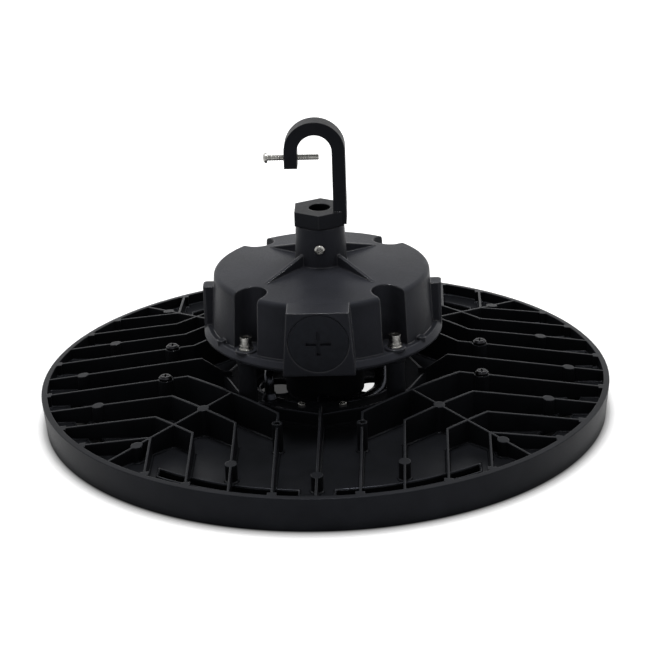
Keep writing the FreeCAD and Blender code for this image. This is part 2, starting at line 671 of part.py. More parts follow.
def base_plate():
    body = new_body("base_plate")
    disc = sketch(body, "XY", lift="post_top")
    circle(disc, "0", "0", "base_radius")
    prism(body, "Pad", disc, "base_thickness")
    ears = sketch(body, "XY", lift="post_top")
    holes = sketch(body, "XY", lift="base_top")
    for left, front in SIGNS:
        circle(ears, left + "screw_x", front + "screw_y", "ear_radius")
        circle(holes, left + "screw_x", front + "screw_y", "screw_clearance")
    prism(body, "Pad", ears, "base_thickness")
    circle(holes, "lead_gland_x", "-lead_gland_y", "gland_thread")
    circle(holes, "-dimming_x", "dimming_back", "gland_thread")
    prism(body, "Pocket", holes, None)
    return body


def base_gasket():
    """Flat seal that follows the box's wall and goes round the screws."""
    body = new_body("base_gasket")
    disc = sketch(body, "XY", lift="base_top")
    circle(disc, "0", "0", "base_radius - 1")
    prism(body, "Pad", disc, "gasket_thickness")
    ears = sketch(body, "XY", lift="base_top")
    bores = sketch(body, "XY", lift="box_foot")
    for left, front in SIGNS:
        circle(ears, left + "screw_x", front + "screw_y", "ear_radius - 1")
        circle(bores, left + "screw_x", front + "screw_y", "screw_clearance")
    prism(body, "Pad", ears, "gasket_thickness")
    prism(body, "Pocket", bores, None)
    middle = sketch(body, "XY", lift="box_foot")
    circle(middle, "0", "0", "cavity_round + fit")
    prism(body, "Pocket", middle, None)
    for turn in (0, 90):
        arm = sketch(body, "XY", lift="box_foot", turn=turn)
        rectangle(arm, "-cavity_arm", "cavity_arm", "-cavity_half", "cavity_half")
        prism(body, "Pocket", arm, None)
    return body


def driver():
    body = new_body("driver")
    can = sketch(body, "XY", lift="base_top")
    circle(can, "0", "0", "driver_radius")
    prism(body, "Pad", can, "driver_height")
    glands = sketch(body, "XY", lift="base_top")
    circle(glands, "lead_gland_x", "-lead_gland_y", "nut_flats / sqrt(3) + 1")
    circle(glands, "-dimming_x", "dimming_back", "nut_flats / sqrt(3) + 1")
    prism(body, "Pocket", glands, "gland_stud + 1", reverse=True)
    return body


# ---------------------------------------------------------------- plug and hook

def blanking_plug():
    body = new_body("blanking_plug")
    head = sketch(body, "XZ", lift="block_face - plug_head")
    circle(head, "0", "plug_axis", "plug_radius")
    prism(body, "Pad", head, "plug_head")
    stem = sketch(body, "XZ", lift="block_face - plug_head")
    circle(stem, "0", "plug_axis", "plug_thread - fit")
    prism(body, "Pad", stem, "plug_length", reverse=True)
    groove = sketch(body, "XZ", lift="block_face - plug_head")
    circle(groove, "0", "plug_axis", "plug_thread + 0.2")
    circle(groove, "0", "plug_axis", "plug_thread - seal_cord")
    prism(body, "Pocket", groove, "seal_cord + 0.1")
    hollow = sketch(body, "XZ", lift="block_face - plug_head - plug_length")
    circle(hollow, "0", "plug_axis", "plug_bore")
    prism(body, "Pocket", hollow, "plug_length", reverse=True)
    slot = sketch(body, "XZ", lift="block_face")
    bind(slot, AttachmentOffset__Base__y="plug_axis")
    cross(slot, "plug_slot_half", "plug_slot_width")
    prism(body, "Pocket", slot, "plug_slot_depth")
    return body


def ring(label, plane, inner, outer, lift, length, centre="0"):
    """Flat or square ring about the light's axis or about the plug's."""
    body = new_body(label)
    face = sketch(body, plane, lift=lift)
    circle(face, "0", centre, inner)
    circle(face, "0", centre, outer)
    prism(body, "Pad", face, length)
    return body


def hook():
    body = new_body("hook")
    foot = sketch(body, "XY", lift="hook_foot")
    hexagon(foot, "foot_flats")
    prism(body, "Pad", foot, "foot_height")
    bar = sketch(body, "XZ")
    outline(bar, [
        ("hook_side", "hook_foot + 1"), ("hook_side", "bend_z", "bend_x", "bend_z", 1),
        ("bend_x - hook_radius", "bend_z"), ("bend_x - hook_radius", "tip_z"),
        ("bend_x - hook_inner", "tip_z"), ("bend_x - hook_inner", "bend_z", "bend_x", "bend_z", -1),
        ("bend_x + hook_inner", "bend_z"), ("bend_x + hook_inner", "hook_foot + 1")])
    prism(body, "Pad", bar, "hook_depth", middle=True)
    root = sketch(body, "YZ", lift="hook_side - hook_section")
    outline(root, [("-hook_root_half", "hook_foot + 1"), ("hook_root_half", "hook_foot + 1"),
                   ("hook_root_half", "foot_top"), ("hook_depth / 2", "hook_foot + hook_gusset"),
                   ("-hook_depth / 2", "hook_foot + hook_gusset"), ("-hook_root_half", "foot_top")])
    prism(body, "Pad", root, "hook_section")
    spigot = sketch(body, "XY", lift="hook_foot")
    circle(spigot, "0", "0", "spigot_radius")
    prism(body, "Pad", spigot, "spigot_length + hook_washer_thickness", reverse=True)
    bore = sketch(body, "XY", lift="foot_top")
    circle(bore, "0", "0", "wire_bore")
    prism(body, "Pocket", bore, "foot_height + hook_washer_thickness + spigot_length + 1")
    eye = sketch(body, "YZ", lift="bend_x - hook_radius - 1")
    circle(eye, "0", "safety_z", "m3_shank")
    prism(body, "Pocket", eye, "hook_section + 2", reverse=True)
    dimple = sketch(body, "XZ", lift="spigot_radius + 1")
    circle(dimple, "0", "set_z", "m3_shank")
    prism(body, "Pocket", dimple, "2")
    return body


# ---------------------------------------------------------------- screws, drawn head up at the origin

def screw_form(label, head, height, shank, length):
    """Pan head screw with a cross recess."""
    body = new_body(label)
    section = sketch(body, "XZ")
    outline(section, [("0", f"-({length})"), (shank, f"-({length})"), (shank, "0"), (head, "0"),
                      (head, f"{height} * 0.55"), (f"{head} * 0.72", height), ("0", height)])
    turned(body, "Revolution", section)
    recess = sketch(body, "XY", lift=height)
    cross(recess, f"{head} * 0.55", f"{head} * 0.13")
    prism(body, "Pocket", recess, f"{height} * 0.55")
    return body


def captive_screw_form():
    """Box screw with its spring washer and flat washer held under the head."""
    body = new_body("captive_screw_form")
    section = sketch(body, "XZ")
    collar = "washer_thickness + spring_thickness"
    outline(section, [
        ("0", f"{collar} - cap_length"), ("m4_shank", f"{collar} - cap_length"), ("m4_shank", "0"),
        ("washer_radius", "0"), ("washer_radius", "washer_thickness"),
        ("spring_radius", "washer_thickness"),
        ("spring_radius", collar), ("cap_head", collar), ("cap_head", f"{collar} + cap_head_height"),
        ("0", f"{collar} + cap_head_height")])
    turned(body, "Revolution", section)
    recess = sketch(body, "XY", lift=f"{collar} + cap_head_height")
    hexagon(recess, "socket_flats")
    prism(body, "Pocket", recess, "cap_head_height * 0.6")
    return body


def on_circle(form, radius, z, count, first, turn_over=False):
    """Uses of a form evenly round the axis."""
    uses = []
    for index in range(count):
        angle = first + 360.0 * index / count
        x = f"({radius}) * cos({angle} * 1deg)"
        y = f"({radius}) * sin({angle} * 1deg)"
        if turn_over:
            uses.append(placed(form, x, y, z, axis=(1, 0, 0), turn=180))
        else:
            uses.append(placed(form, x, y, z))
    return uses


# ---------------------------------------------------------------- light engine under the plate

LED_RINGS = ((0, 12), (1, 18), (2, 24))


def led_board():
    body = new_body("led_board")
    face = sketch(body, "XY", lift="board_face")
    circle(face, "0", "0", "board_inner")
    circle(face, "0", "0", "board_outer")
    prism(body, "Pad", face, "board_thickness")
    return body


def chip_form():
    body = new_body("chip_form")
    face = sketch(body, "XY")
    rectangle(face, "-chip_side / 2", "chip_side / 2", "-chip_side / 2", "chip_side / 2")
    prism(body, "Pad", face, "chip_height")
    return body


def led_chips(form):
    uses = []
    for order, count in LED_RINGS:
        uses += on_circle(form, f"led_ring_first + {order} * led_ring_step", "board_face", count, 0.0, True)
    return group("led_chips", uses)


def lens():
    """Clear cover ring: outer flange, plate under the LEDs, inner collar."""
    body = new_body("lens")
    section = sketch(body, "XZ")
    step = "lens_outer - lens_rim"
    outline(section, [
        ("lens_inner + lens_collar - lens_plate", "lens_face"), (f"{step} + lens_plate", "lens_face"),
        (f"{step} + lens_plate", "lens_flange - lens_plate"), ("lens_outer", "lens_flange - lens_plate"),
        ("lens_outer", "lens_flange"), (step, "lens_flange"), (step, "lens_face + lens_plate"),
        ("lens_inner + lens_collar", "lens_face + lens_plate"), ("lens_inner + lens_collar", "lens_flange"),
        ("lens_inner", "lens_flange"), ("lens_inner", "lens_flange - lens_plate"),
        ("lens_inner + lens_collar - lens_plate", "lens_flange - lens_plate")])
    turned(body, "Revolution", section)
    return body


# ---------------------------------------------------------------- leads and their fittings

def gland(label, bore):
    """Gland drawn with its seat on the box plate at the origin, nose down."""
    body = new_body(label)
    section = sketch(body, "XZ")
    outline(section, [
        (bore, "-gland_drop"), ("gland_nose - 1", "-gland_drop"), ("gland_nose", "1 - gland_drop"),
        ("gland_nose", "-gland_head"), ("gland_radius", "-gland_head"), ("gland_radius", "0"),
        ("gland_thread - fit", "0"), ("gland_thread - fit", "gland_stud + base_thickness"),
        (bore, "gland_stud + base_thickness")])
    turned(body, "Revolution", section)
    return body


def gland_nut_form():
    body = new_body("gland_nut_form")
    face = sketch(body, "XY")
    hexagon(face, "nut_flats")
    circle(face, "0", "0", "gland_thread")
    prism(body, "Pad", face, "nut_height")
    return body


def lead_clamp():
    """Lid over the wiring pocket, with a pointed front like the hub's."""
    body = new_body("lead_clamp")
    plate = sketch(body, "XY", lift="hub_top")
    outline(plate, [("-clamp_half", "-clamp_front"), ("0", "-clamp_nose"), ("clamp_half", "-clamp_front"),
                    ("clamp_half", "-clamp_back"), ("-clamp_half", "-clamp_back")])
    prism(body, "Pad", plate, "clamp_thickness")
    holes = sketch(body, "XY", lift="clamp_top")
    for side in ("", "-"):
        circle(holes, f"{side}clamp_screw_x", "-clamp_screw_y", "small_thread + fit")
    prism(body, "Pocket", holes, None)
    return body


def lead_elbow():
    """Rubber boot: stem through the hub's wall, body lying inwards, nozzle turned to the side."""
    body = new_body("lead_elbow")
    stem = sketch(body, "XZ", lift="elbow_back")
    circle(stem, "0", "lead_z", "stem_radius")
    prism(body, "Pad", stem, "wiring_back - elbow_back")
    barrel = sketch(body, "XZ", lift="elbow_back")
    circle(barrel, "0", "lead_z", "elbow_radius")
    prism(body, "Pad", barrel, "hub_inner - fit - elbow_back")
    nozzle = sketch(body, "YZ")
    circle(nozzle, "-elbow_turn", "lead_z", "elbow_radius")
    prism(body, "Pad", nozzle, "elbow_reach")
    return body


def grommet():
    body = new_body("dimming_grommet")
    bind(body, Placement__Base__x="-dimming_x", Placement__Base__y="-dimming_y")
    section = sketch(body, "XZ")
    outline(section, [
        ("0", "floor_bottom"), ("grommet_stem", "floor_bottom"), ("grommet_stem", "hub_top"),
        ("grommet_radius", "hub_top"), ("grommet_radius", "hub_top + 1.5"),
        ("dimming_radius + 0.6", "hub_top + grommet_height"), ("0", "hub_top + grommet_height")])
    turned(body, "Revolution", section)
    return body


def smooth_path(points, share=0.45):
    """Straight runs joined by tangent arcs, each as large as its two runs allow."""
    edges = []
    radii = []
    last = points[0]
    for before, corner, after in zip(points, points[1:], points[2:]):
        into = (corner - before).normalize()
        out = (after - corner).normalize()
        half_turn = into.getAngle(out) / 2
        reach = share * min((corner - before).Length, (after - corner).Length)
        radius = reach / math.tan(half_turn)
        start = corner - into * reach
        finish = corner + out * reach
        inward = (out - into).normalize()
        middle = corner + inward * (radius / math.cos(half_turn) - radius)
        edges.append(Part.LineSegment(last, start).toShape())
        edges.append(Part.Arc(start, middle, finish).toShape())
        radii.append(radius)
        last = finish
    edges.append(Part.LineSegment(last, points[-1]).toShape())
    return Part.Wire(edges), radii


def lead(label, places, radius):
    """Round lead along a hand-chosen route between its two fittings."""
    path, radii = smooth_path([Vector(*place) for place in places])
    first = Vector(*places[0])
    along = Vector(*places[1]) - first
    section = Part.Wire(Part.makeCircle(radius, first, along))
    tube = doc.addObject("Part::Feature", label)
    tube.Label = label
    tube.Shape = path.makePipeShell([section], True, False)
    expected = math.pi * radius ** 2 * path.Length
    print(label, "length %.1f" % path.Length, "volume ratio %.4f" % (tube.Shape.Volume / expected),
          "radii", ["%.1f" % value for value in radii])
    return tube


# ---------------------------------------------------------------- assembly

captive_form = captive_screw_form()
boss_form = screw_form("boss_form", "m4_head", "m4_head_height", "m4_shank", "boss_screw_length")
safety_form = screw_form("safety_form", "m3_head", "m3_head_height", "m3_shank", "safety_length")
set_form = screw_form("set_form", "m3_head", "m3_head_height", "m3_shank", "set_length")
small_form = screw_form("small_form", "small_head", "small_head_height", "small_thread", "small_length")
chip = chip_form()
nut_form = gland_nut_form()
lead_gland_form = gland("lead_gland_form", "lead_radius")
dimming_gland_form = gland("dimming_gland_form", "dimming_radius")

screw_uses = []
boss_uses = []
for left, front in SIGNS:
    screw_uses.append(placed(captive_form, left + "screw_x", front + "screw_y", "seat_top"))
    boss_uses.append(placed(boss_form, left + "boss_axial", front + "fin_pitch", "boss_height"))

lead_route = [
    (number("lead_gland_x"), -number("lead_gland_y"), number("post_top - gland_drop")),
    (number("lead_gland_x"), -number("lead_gland_y"), 30.0),
    (34.0, -17.5, 19.2),
    (25.6, -29.6, number("lead_z")),
    (17.0, -number("elbow_turn"), number("lead_z")),
    (number("elbow_reach"), -number("elbow_turn"), number("lead_z")),
]
dimming_route = [
    (-number("dimming_x"), number("dimming_back"), number("post_top - gland_drop")),
    (-number("dimming_x"), number("dimming_back"), 33.0),
    (-32.0, -15.0, 34.5),
    (-number("dimming_x"), -number("dimming_y"), 37.0),
    (-number("dimming_x"), -number("dimming_y"), number("hub_top + grommet_height")),
]

nodes = [
    heat_sink(),
    driver_housing(),
    base_plate(),
    base_gasket(),
    blanking_plug(),
    ring("plug_seal", "XZ", "plug_thread - seal_cord", "plug_thread",
         "block_face - plug_head - seal_cord", "seal_cord", "plug_axis"),
    hook(),
    ring("hook_washer", "XY", "spigot_radius + fit / 2", "neck_radius - fit", "neck_top",
         "hook_washer_thickness"),
    group("hook_safety_screw", [placed(safety_form, "bend_x - hook_radius - safety_gap", "0", "safety_z",
                                       axis=(0, 1, 0), turn=-90)]),
    group("hook_set_screw", [placed(set_form, "0", "-set_seat", "set_z",
                                    axis=(1, 0, 0), turn=90)]),
    group("housing_screws", screw_uses),
    group("boss_screws", boss_uses),
    driver(),
    led_board(),
    led_chips(chip),
    lens(),
    ring("lens_gasket_outer", "XY", "lens_outer - lens_rim", "lens_outer", "lens_flange", "lens_seal"),
    ring("lens_gasket_inner", "XY", "lens_inner", "lens_inner + lens_collar", "lens_flange", "lens_seal"),
    lead_clamp(),
    group("lead_clamp_screws", [placed(small_form, side + "clamp_screw_x", "-clamp_screw_y", "clamp_top")
                                for side in ("", "-")]),
    lead_elbow(),
    group("lead_gland", [placed(lead_gland_form, "lead_gland_x", "-lead_gland_y", "post_top")]),
    group("dimming_gland", [placed(dimming_gland_form, "-dimming_x", "dimming_back", "post_top")]),
    group("gland_nuts", [placed(nut_form, "lead_gland_x", "-lead_gland_y", "base_top"),
                         placed(nut_form, "-dimming_x", "dimming_back", "base_top")]),
    grommet(),
    lead("led_lead", lead_route, number("lead_radius")),
    lead("dimming_lead", dimming_route, number("dimming_radius")),
]

doc.recompute()
for thing in doc.Objects:
    if {"Invalid", "Error"} & set(thing.State):
        raise RuntimeError(f"{thing.Label} did not build: {thing.getStatusString()}")

os.makedirs("parts", exist_ok=True)
for node in nodes:
    if node.Shape.isNull() or not node.Shape.isValid():
        raise RuntimeError(f"{node.Label} has no valid shape")
    node.Shape.exportStep(f"parts/{node.Label}.step")
print(len(nodes), "sub-parts written")
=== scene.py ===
import math

import bmesh
import bpy
from mathutils import Matrix, Quaternion, Vector


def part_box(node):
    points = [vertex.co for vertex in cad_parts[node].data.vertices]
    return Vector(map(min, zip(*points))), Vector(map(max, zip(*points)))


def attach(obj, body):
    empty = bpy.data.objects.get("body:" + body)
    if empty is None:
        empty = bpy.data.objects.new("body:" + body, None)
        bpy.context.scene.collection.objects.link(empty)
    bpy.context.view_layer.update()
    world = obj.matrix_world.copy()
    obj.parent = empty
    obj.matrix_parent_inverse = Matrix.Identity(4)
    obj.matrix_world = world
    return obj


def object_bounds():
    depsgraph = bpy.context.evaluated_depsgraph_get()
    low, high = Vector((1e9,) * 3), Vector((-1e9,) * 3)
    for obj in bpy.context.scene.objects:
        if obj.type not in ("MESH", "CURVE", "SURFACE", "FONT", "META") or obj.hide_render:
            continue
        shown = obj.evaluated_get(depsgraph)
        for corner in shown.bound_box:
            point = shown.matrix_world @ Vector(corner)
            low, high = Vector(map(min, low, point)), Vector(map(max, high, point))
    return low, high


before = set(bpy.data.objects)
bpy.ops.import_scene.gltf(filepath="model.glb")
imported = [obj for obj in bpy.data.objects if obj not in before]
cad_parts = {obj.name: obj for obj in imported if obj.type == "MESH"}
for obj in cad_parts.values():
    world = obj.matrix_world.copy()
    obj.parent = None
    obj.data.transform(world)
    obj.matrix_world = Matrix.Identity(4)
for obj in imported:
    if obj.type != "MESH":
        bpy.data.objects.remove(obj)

cad_low, cad_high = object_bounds()

# ---------------------------------------------------------------- heat sink
# One pressure die casting in ADC12 aluminium: rim, floor, hub and a net of thin ribs under a low
# cone. Sprayed with fine-textured black polyester powder and baked, which leaves a satin skin
# with a faint grain, worn a little thinner and smoother over every edge.
MM = 0.001


def linear(hex_colour):
    """An sRGB hex colour as the linear RGBA that a shader takes."""
    channels = []
    for start in (1, 3, 5):
        value = int(hex_colour[start:start + 2], 16) / 255
        channels.append(value / 12.92 if value <= 0.04045 else ((value + 0.055) / 1.055) ** 2.4)
    return (*channels, 1.0)


def add_node(tree, kind, inputs=None, **settings):
    """Add a shader node, set its options, and fill or link its inputs."""
    node = tree.nodes.new("ShaderNode" + kind)
    for name, value in settings.items():
        setattr(node, name, value)
    for name, value in (inputs or {}).items():
        if isinstance(value, bpy.types.NodeSocket):
            tree.links.new(value, node.inputs[name])
        else:
            node.inputs[name].default_value = value
    return node


def new_material(name, **constants):
    """A named material with its shader's constant values set, and the object's own coordinates."""
    material = bpy.data.materials.new(name)
    material.use_nodes = True
    tree = material.node_tree
    shader = tree.nodes["Principled BSDF"]
    for socket, value in constants.items():
        shader.inputs[socket.replace("_", " ")].default_value = value
    place = add_node(tree, "TexCoord").outputs["Object"]
    return material, tree, shader, place


def lumps(place, size_mm, detail=3.0):
    """Settings of a noise whose lumps are size_mm across."""
    return {"Vector": place, "Scale": 1 / (size_mm * MM), "Detail": detail, "Roughness": 0.55}


def span(amount, start, stop, low=0.0, high=1.0):
    """Settings that carry amount from start and stop over to low and high."""
    return {"Value": amount, "From Min": start, "From Max": stop, "To Min": low, "To Max": high}


def drift(tree, amount, deep, pale, start=0.0, stop=1.0):
    """Colour that goes from deep to pale while amount goes from start to stop."""
    share = add_node(tree, "MapRange", span(amount, start, stop)).outputs["Result"]
    return add_node(tree, "Mix", {"Factor": share, 6: deep, 7: pale}, data_type="RGBA").outputs[2]


CLOUD_MM = 28.0
BARE_BAND_MM = 3.0
COOL_SHEEN = linear("#E4EAFF")


def powder_coat(name, deep, pale, edge, roughness, grit_mm, relief_mm, edge_mm=0.5, ior=1.2,
                burnish=0.0, thin_mm=0.0):
    """Baked polyester powder over a casting: fine grit, slow cloudiness, smoother pale edges.

    Handling burnishes the edges to a harder shine. Their paler colour is partly a thinner, worn
    coat and partly a painted highlight. Within thin_mm of the axis the spray hardly reaches, and
    the coat there is thin and matt.
    """
    material, tree, shader, place = new_material(name, Metallic=0.0, IOR=ior, Coat_IOR=1.5,
                                                  Coat_Roughness=0.22, Specular_Tint=COOL_SHEEN)
    cloud = add_node(tree, "TexNoise", lumps(place, CLOUD_MM)).outputs["Fac"]
    grit = add_node(tree, "TexNoise", lumps(place, grit_mm)).outputs["Fac"]
    rounded = add_node(tree, "Bevel", {"Radius": edge_mm * MM}, samples=6).outputs["Normal"]
    flat = add_node(tree, "NewGeometry").outputs["True Normal"]
    turn = add_node(tree, "VectorMath", {0: rounded, 1: flat}, operation="DOT_PRODUCT")
    wear_and_highlight_span = span(turn.outputs["Value"], start=0.72, stop=0.97, low=1.0, high=0.0)
    wear_and_painted_highlight = add_node(tree, "MapRange", wear_and_highlight_span).outputs["Result"]
    skin = drift(tree, cloud, linear(deep), linear(pale), start=0.35, stop=0.65)
    # The paler edge colour is partly worn, thinner coat and partly a painted highlight along every
    # edge.
    colour = add_node(tree, "Mix", {"Factor": wear_and_painted_highlight, 6: skin, 7: linear(edge)}, data_type="RGBA")
    tree.links.new(colour.outputs[2], shader.inputs["Base Color"])
    if burnish:
        shine = add_node(tree, "Math", {0: wear_and_painted_highlight, 1: burnish}, operation="MULTIPLY")
        tree.links.new(shine.outputs[0], shader.inputs["Coat Weight"])
    uneven = span(grit, start=0.3, stop=0.7, low=roughness - 0.05, high=roughness + 0.07)
    dull = add_node(tree, "MapRange", uneven).outputs["Result"]
    if thin_mm:
        level = add_node(tree, "VectorMath", {0: place, 1: (1.0, 1.0, 0.0)}, operation="MULTIPLY")
        off_axis = add_node(tree, "VectorMath", {0: level.outputs["Vector"]}, operation="LENGTH")
        matt = span(off_axis.outputs["Value"], start=(thin_mm - BARE_BAND_MM) * MM,
                    stop=thin_mm * MM, low=0.5, high=0.0)
        thin = add_node(tree, "MapRange", matt).outputs["Result"]
        dull = add_node(tree, "Math", {0: dull, 1: thin}, operation="ADD").outputs[0]
    smooth = add_node(tree, "Math", {0: wear_and_painted_highlight, 1: -0.1, 2: dull}, operation="MULTIPLY_ADD")
    tree.links.new(smooth.outputs[0], shader.inputs["Roughness"])
    bump = add_node(tree, "Bump", {"Height": grit, "Distance": relief_mm * MM, "Normal": rounded})
    for socket in ("Normal", "Coat Normal"):
        tree.links.new(bump.outputs["Normal"], shader.inputs[socket])
    return material


def dress(material, *names):
    """Give CAD nodes their finish."""
    for name in names:
        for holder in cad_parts[name].material_slots:
            holder.material = material


# The real grit is about 0.3 mm across. It is drawn at 0.7 mm so that it shows.
heat_sink_coat = powder_coat("fine black powder coat on ADC12 casting", "#141517", "#1B1C1F",
                             "#1F2023", roughness=0.36, grit_mm=0.7, relief_mm=0.02,
                             edge_mm=0.8, ior=1.19, burnish=0.25, thin_mm=64.0)
dress(heat_sink_coat, "heat_sink")

WELD = 0.002 * MM            # corners nearer than this are one corner
LEVEL_SLACK = 0.01 * MM      # how far an edge may be off its level
FLAT, UPRIGHT = 0.99, 0.3    # upright share of a normal: least on flat ground, most on a wall
MITRE_LIMIT = 0.4            # keeps the strip from running out to a spike at a sharp corner
CREASE = math.radians(50)


def skin_between(shape, first, last):
    """Join two rings of corners by a band of faces."""
    for number in range(len(first)):
        shape.faces.new((first[number - 1], first[number], last[number], last[number - 1]))


def finish_piece(name, shape, material):
    """Make a piece of the fixed body from a bmesh."""
    mesh = bpy.data.meshes.new(name)
    shape.to_mesh(mesh)
    shape.free()
    mesh.materials.append(material)
    piece = bpy.data.objects.new(name, mesh)
    bpy.context.collection.objects.link(piece)
    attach(piece, "root")


def along_edges(name, level, rising, section, material):
    """Lay a closed section of (out, up) points along the casting's edges at one level.

    The edges are those where flat ground meets a wall that rises from it, or falls away.
    """
    base = bmesh.new()
    base.from_mesh(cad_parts["heat_sink"].data)
    bmesh.ops.remove_doubles(base, verts=base.verts, dist=WELD)
    base.normal_update()
    runs, directions = [], {}
    for edge in base.edges:
        off_level = any(abs(end.co.z - level) > LEVEL_SLACK for end in edge.verts)
        if off_level or len(edge.link_faces) != 2:
            continue
        ground, wall = sorted(edge.link_faces, key=lambda face: -abs(face.normal.z))
        if ground.normal.z < FLAT or abs(wall.normal.z) > UPRIGHT:
            continue
        if (wall.calc_center_median().z > level) == rising:
            runs.append(edge.verts[:])
            for end in edge.verts:
                directions.setdefault(end, []).append(Vector((*wall.normal.xy, 0)).normalized())
    strip = bmesh.new()
    rings = {}
    for end, walls in directions.items():
        out = sum(walls, Vector())
        if len(walls) > 1:
            out = out * len(walls) / max(out.length_squared, MITRE_LIMIT)
        rings[end] = [strip.verts.new(end.co + out * x + Vector((0, 0, z))) for x, z in section]
    for first, last in runs:
        skin_between(strip, rings[first], rings[last])
    for end, walls in directions.items():
        if len(walls) == 1:
            strip.faces.new(rings[end])
    base.free()
    bmesh.ops.recalc_face_normals(strip, faces=strip.faces)
    for face in strip.faces:
        face.smooth = True
    for edge in strip.edges:
        edge.smooth = edge.calc_face_angle(0) < CREASE
    finish_piece(name, strip, material)


# The casting's roots are rounded where ribs, bosses and rim leave the floor. The air slots and the
# hub have a low rounded lip, which handling rubs smooth.
FLOOR_LEVEL = 14.0 * MM
HUB_LEVEL = 22.0 * MM
ROOT = 1.0 * MM
LIP = 0.8 * MM
SUNK = 0.3 * MM
quarter = [math.radians(step) for step in range(0, 91, 18)]
root_section = [(ROOT * (1 - math.sin(turn)), ROOT * (1 - math.cos(turn))) for turn in quarter]
root_section.append((-SUNK, -SUNK))
lip_section = [(-LIP * (1.1 - math.cos(2 * turn)), LIP * math.sin(2 * turn)) for turn in quarter]
lip_section.append((-LIP, -SUNK))
rubbed_coat = powder_coat("powder coat rubbed smooth along edges", "#151618", "#1C1D20", "#232428",
                          roughness=0.26, grit_mm=0.7, relief_mm=0.01, ior=1.3, burnish=1.0)
along_edges("root_fillets", FLOOR_LEVEL, True, root_section, heat_sink_coat)
along_edges("slot_lips", FLOOR_LEVEL, False, lip_section, rubbed_coat)
along_edges("hub_lips", HUB_LEVEL, False, lip_section, rubbed_coat)


# ---------------------------------------------------------------- driver box
# Die-cast aluminium bell with a flange, notches for four screws, a plug block and a webbed
# crown. Its powder coat is coarser and sandier than the plate's, so the top reads as a soft dark
# grey. The flat steel plate that closes it has a plainer, darker coat.

# The real sandy grit is about 0.5 mm across. It is drawn at 0.9 mm so that it shows.
box_coat = powder_coat("sand-textured black powder coat on casting", "#25262A", "#2C2D32",
                       "#35363B", roughness=0.38, grit_mm=0.9, relief_mm=0.09, edge_mm=1.4,
                       burnish=1.0)
dress(box_coat, "driver_housing")
plate_coat = powder_coat("black powder coat on steel plate", "#0B0C0D", "#101113", "#18191B",
                         roughness=0.45, grit_mm=0.8, relief_mm=0.03, burnish=0.5)
dress(plate_coat, "base_plate")


# ---------------------------------------------------------------- hook
# Suspension hook: cast steel with a black electro-painted skin, thinner than powder, so it is
# smoother and shows the casting's own slow waviness. A hexagonal foot and a threaded spigot
# hold it in the neck, on a rubber seal.
hook_paint = powder_coat("black electro-paint on cast steel", "#101112", "#16171A", "#1F2023",
                         roughness=0.34, grit_mm=1.4, relief_mm=0.04, edge_mm=1.0, burnish=0.5)
dress(hook_paint, "hook")


# ---------------------------------------------------------------- seals and leads
# Silicone and EPDM seals, moulded, matt and a little dusty. Two round PVC leads, whose extruded
# sheath is smoother and catches the light along its length, and a boot and a grommet moulded
# in the same PVC.
def moulded(name, deep, pale, roughness, lump_mm, relief_mm, ior=1.3):
    """Moulded or extruded polymer: low waviness, slightly uneven gloss."""
    material, tree, shader, place = new_material(name, Metallic=0.0, IOR=ior,
                                                 Specular_Tint=COOL_SHEEN)
    wave = add_node(tree, "TexNoise", lumps(place, lump_mm)).outputs["Fac"]
    fine = add_node(tree, "TexNoise", lumps(place, lump_mm / 5)).outputs["Fac"]
    tree.links.new(drift(tree, wave, linear(deep), linear(pale), start=0.3, stop=0.7),
                   shader.inputs["Base Color"])
    uneven = span(fine, start=0.3, stop=0.7, low=roughness - 0.06, high=roughness + 0.08)
    tree.links.new(add_node(tree, "MapRange", uneven).outputs["Result"], shader.inputs["Roughness"])
    bump = add_node(tree, "Bump", {"Height": fine, "Distance": relief_mm * MM})
    tree.links.new(bump.outputs["Normal"], shader.inputs["Normal"])
    return material


rubber = moulded("black EPDM rubber", "#0E0E0E", "#171717", 0.62, lump_mm=6.0, relief_mm=0.04)
dress(rubber, "base_gasket", "plug_seal", "hook_washer", "lens_gasket_outer", "lens_gasket_inner")
sheath = moulded("extruded black PVC sheath", "#0A0A0B", "#101012", 0.28, lump_mm=9.0,
                 relief_mm=0.03, ior=1.5)
dress(sheath, "led_lead", "dimming_lead", "lead_elbow", "dimming_grommet")


# ---------------------------------------------------------------- moulded nylon parts
# Screwed blanking plug, wiring lid, cable glands and their nuts: injection-moulded black PA66
# with a fine spark-eroded skin, a little glossier than the castings.
nylon = moulded("spark-textured black PA66", "#1B1C1F", "#202226", 0.36, lump_mm=4.0,
                relief_mm=0.03, ior=1.22)
dress(nylon, "blanking_plug", "lead_clamp", "lead_gland", "dimming_gland", "gland_nuts")


# ---------------------------------------------------------------- screws
# Stainless A2 screws with bright cold-formed heads, and black-oxide steel ones in the plate's
# bosses. Forming leaves small flats of brighter and duller metal round each head.
FORMED_FLAT_MM = 1.6
SCRATCH_MM = 0.35


def screw_metal(name, deep, pale, roughness):
    """Cold-formed metal: patchy brightness, fine scratches."""
    material, tree, shader, place = new_material(name, Metallic=1.0)
    patch = add_node(tree, "TexNoise", lumps(place, FORMED_FLAT_MM)).outputs["Fac"]
    scratch = add_node(tree, "TexNoise", lumps(place, SCRATCH_MM, detail=5.0)).outputs["Fac"]
    tree.links.new(drift(tree, patch, linear(deep), linear(pale), start=0.35, stop=0.65),
                   shader.inputs["Base Color"])
    uneven = span(scratch, start=0.3, stop=0.7, low=roughness - 0.08, high=roughness + 0.1)
    tree.links.new(add_node(tree, "MapRange", uneven).outputs["Result"], shader.inputs["Roughness"])
    rounded = add_node(tree, "Bevel", {"Radius": 0.25 * MM}, samples=6).outputs["Normal"]
    bump = add_node(tree, "Bump", {"Height": scratch, "Distance": 0.01 * MM, "Normal": rounded})
    tree.links.new(bump.outputs["Normal"], shader.inputs["Normal"])
    return material


